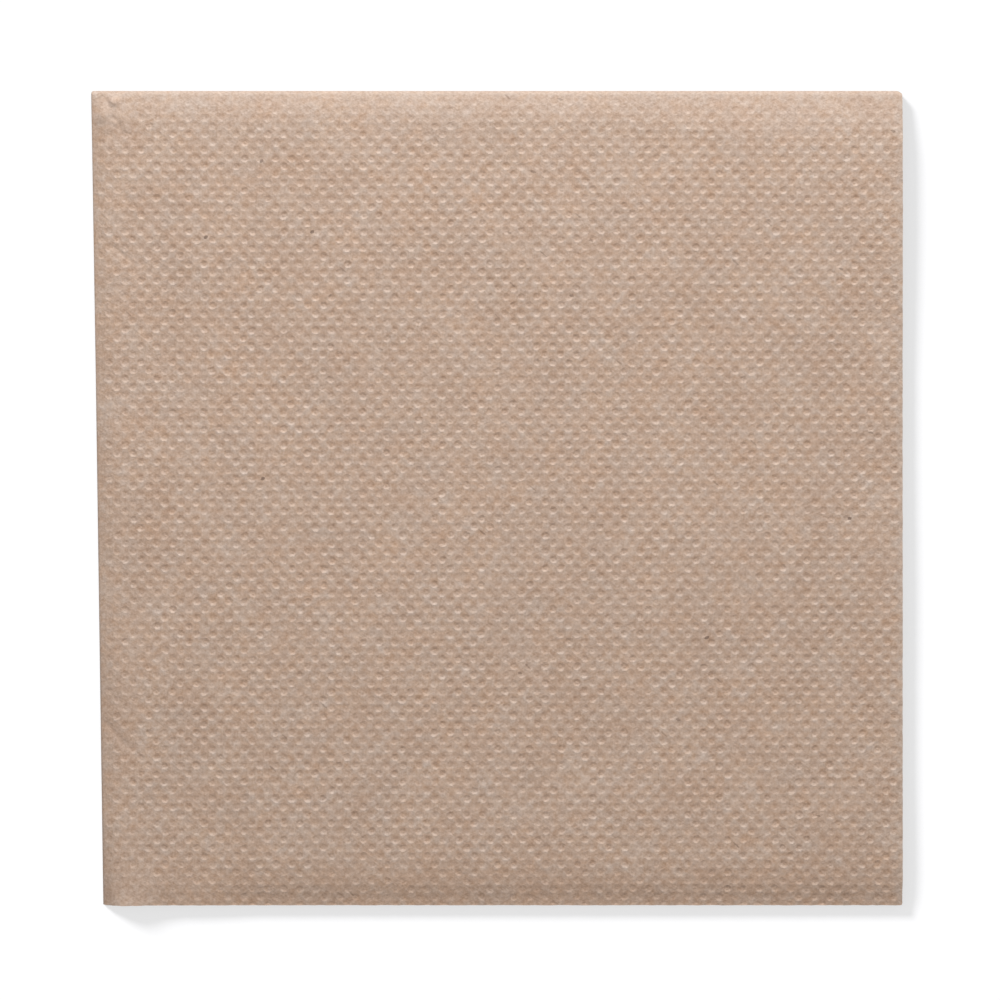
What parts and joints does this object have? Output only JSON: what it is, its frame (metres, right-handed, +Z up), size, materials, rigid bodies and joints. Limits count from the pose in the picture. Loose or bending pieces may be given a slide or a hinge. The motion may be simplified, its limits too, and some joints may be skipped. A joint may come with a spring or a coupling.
{
  "type": "paper napkin",
  "caption": "Square paper napkin of embossed brown tissue, folded in quarters and lying flat: soft folds along the left and far edges, cut edges at the right and near edges.",
  "frame": {"origin": "centre of the folded napkin's outline, on its flat underside", "axes": "+X from the left fold to the cut edges at the right, +Y from the near cut edges to the far fold, +Z up out of the top face"},
  "size_m": [0.1194, 0.12, 0.0019],
  "materials": {
    "tissue": "matte unbleached tissue with a close dot emboss"
  },
  "bodies": {
    "root": {"napkin": "tissue"}
  },
  "joints": []
}
